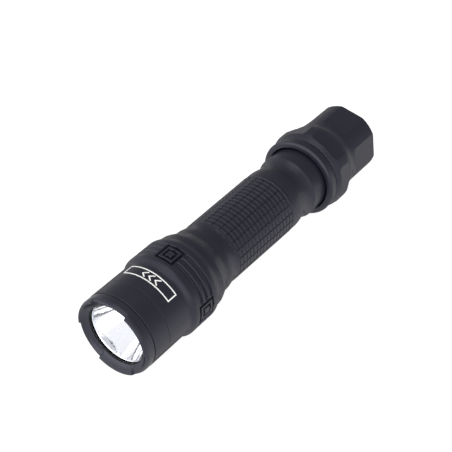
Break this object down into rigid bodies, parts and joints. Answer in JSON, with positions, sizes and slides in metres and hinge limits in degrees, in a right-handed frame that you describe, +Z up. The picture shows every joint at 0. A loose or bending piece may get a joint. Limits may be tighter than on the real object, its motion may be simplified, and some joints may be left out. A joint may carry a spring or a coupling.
{
  "type": "tactical flashlight",
  "caption": "Tactical flashlight with a crenellated strike bezel, ribbed head collar, checkered grip tube, faceted tail ring and screw-on tail cap with a push switch.",
  "frame": {"origin": "on the flashlight's axis, at the joint between the head ring and the head barrel, inside the span of the 34 mm head cylinder", "axes": "+Y along the axis from the lens to the tail switch, +Z up as it lies, +X to the right looking from the lens to the tail"},
  "size_m": [0.0368, 0.1624, 0.0376],
  "materials": {
    "anodised_black": "matte black hard anodised aluminium",
    "bezel_black": "satin black anodised aluminium",
    "lens_glass": "clear coated glass",
    "reflector_mirror": "vacuum aluminised mirror",
    "black_rubber": "matte black rubber",
    "white_plastic": "matte white plastic",
    "led_ceramic": "white ceramic",
    "led_phosphor": "clear silicone over yellow phosphor",
    "copper": "bare copper with white solder mask",
    "raw_aluminium": "turned bare aluminium",
    "circuit_board": "green solder mask",
    "chip_black": "moulded chip packages",
    "gold_spring": "gold plated spring wire",
    "cell_can": "nickel plated steel",
    "cell_wrap": "shrink wrapped film",
    "red_wire": "silicone wire insulation",
    "black_wire": "silicone wire insulation",
    "switch_plastic": "moulded nylon",
    "switch_shaft": "moulded acetal"
  },
  "bodies": {
    "light": {"strike_bezel": "bezel_black", "bezel_o_ring": "black_rubber", "head_ring": "anodised_black", "lens_seal": "black_rubber", "front_lens": "lens_glass", "reflector": "reflector_mirror", "led_gasket": "white_plastic", "led_package": "led_ceramic", "led_dome": "led_phosphor", "led_board": "copper", "led_pill": "raw_aluminium", "driver_board": "circuit_board", "driver_components": "chip_black", "black_lead": "black_wire", "red_lead": "red_wire", "front_spring": "gold_spring", "head_barrel": "anodised_black", "head_o_ring": "black_rubber", "body_tube": "anodised_black", "battery_can": "cell_can", "battery_wrap": "cell_wrap", "battery_insulator": "white_plastic", "battery_button": "cell_can", "tail_o_ring": "black_rubber", "lock_ring": "anodised_black"},
    "tail_ring": {"anti_roll_ring": "anodised_black"},
    "tail_cap": {"tail_cap": "anodised_black", "switch_retainer": "raw_aluminium", "switch_board": "circuit_board", "switch_body": "switch_plastic", "boot_washer": "raw_aluminium", "boot_flange": "black_rubber", "tail_spring": "gold_spring", "plunger_spring": "cell_can"},
    "button": {"switch_boot": "black_rubber", "switch_plunger": "switch_shaft"}
  },
  "joints": [
    {"name": "tail_slide", "type": "slide", "parent": "light", "child": "tail_ring", "axis": [0, 1, 0], "range_m": [0, 0.00755], "deforming": ["tail_spring"]},
    {"name": "tail_cap_turn", "type": "hinge", "parent": "tail_ring", "child": "tail_cap", "pos_m": [0, 0.12, 0], "axis": [0, 1, 0], "range_deg": [0, 2160]},
    {"name": "button_press", "type": "slide", "parent": "tail_cap", "child": "button", "axis": [0, -1, 0], "range_m": [0, 0.0022], "stiffness_N_per_m": 1200, "springref_m": -0.0035, "deforming": ["plunger_spring"]}
  ],
  "couplings": [
    {"joint": "tail_slide", "follows": "tail_cap_turn", "m_per_rad": 0.00019894}
  ]
}
